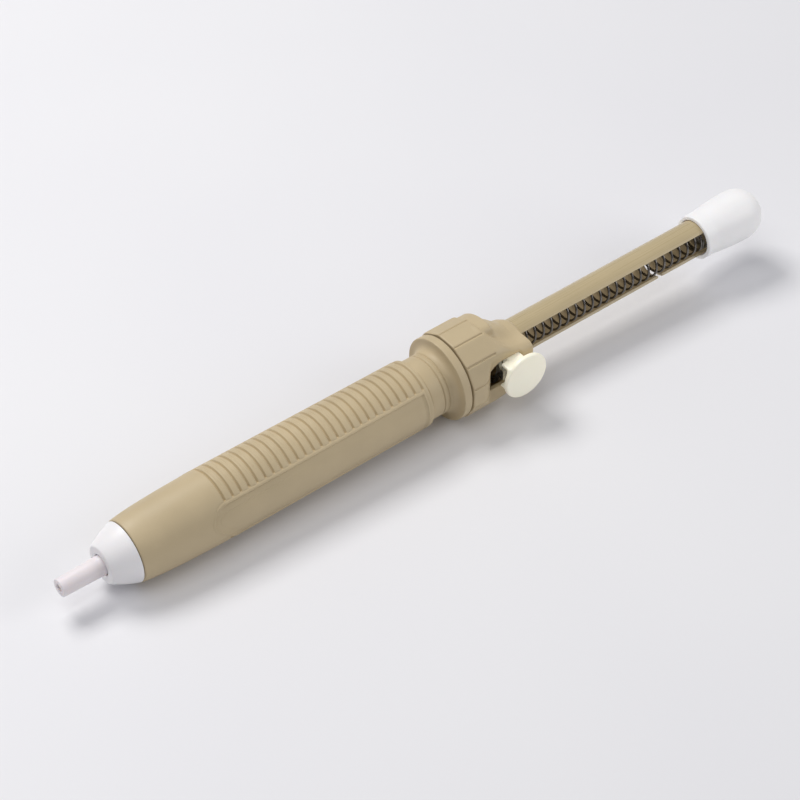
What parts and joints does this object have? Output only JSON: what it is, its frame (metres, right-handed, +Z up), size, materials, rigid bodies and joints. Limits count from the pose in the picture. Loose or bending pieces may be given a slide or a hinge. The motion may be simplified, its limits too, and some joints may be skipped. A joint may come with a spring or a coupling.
{
  "type": "desoldering pump",
  "caption": "Hand desoldering pump with a ribbed grip barrel, a faceted rear cap with a side release button, and a sprung slotted plunger tube ending in a rounded knob.",
  "frame": {"origin": "middle of the rear cap's lowest flat, straight below the tool axis", "axes": "+X along the tool axis from the nozzle to the knob, +Z up, -Y towards the release button"},
  "size_m": [0.33, 0.038, 0.0344],
  "materials": {
    "beige_plastic": "satin moulded, fine grain",
    "glossy_beige_plastic": "smooth extruded",
    "white_plastic": "smooth moulded",
    "nozzle_plastic": "waxy fluoropolymer, slightly translucent",
    "cream_plastic": "smooth moulded",
    "white_acetal": "turned",
    "black_rubber": "lightly greased",
    "spring_steel": "drawn wire, oiled",
    "bright_steel": "plated"
  },
  "bodies": {
    "housing": {"barrel": "beige_plastic", "rear_cap": "beige_plastic", "guide_bush": "white_acetal", "rubber_bumper": "black_rubber", "spring_seat": "white_acetal", "main_spring": "spring_steel", "button_spring": "bright_steel"},
    "plunger": {"knob": "white_plastic", "plunger_tube": "glossy_beige_plastic", "tube_end_plug": "white_acetal", "plug_pin": "bright_steel", "spring_washer": "bright_steel", "piston_head": "white_acetal", "piston_o_ring": "black_rubber", "piston_pin": "bright_steel", "cleaning_rod": "bright_steel", "rod_nut": "bright_steel"},
    "release": {"button": "cream_plastic", "latch_plate": "bright_steel", "latch_pin": "bright_steel"},
    "nose": {"nose_cone": "white_plastic", "nozzle": "nozzle_plastic", "nozzle_o_ring": "black_rubber", "nose_o_ring": "black_rubber"}
  },
  "joints": [
    {"name": "plunger_slide", "type": "slide", "parent": "housing", "child": "plunger", "axis": [-1, 0, 0], "range_m": [0, 0.088], "stiffness_N_per_m": 150, "springref_m": -0.03, "deforming": ["main_spring"]},
    {"name": "button_press", "type": "slide", "parent": "housing", "child": "release", "axis": [0, 1, 0], "range_m": [0, 0.0018], "stiffness_N_per_m": 400, "springref_m": -0.002, "deforming": ["button_spring"]},
    {"name": "nose_pull", "type": "slide", "parent": "housing", "child": "nose", "axis": [-1, 0, 0], "range_m": [0, 0.03]}
  ]
}
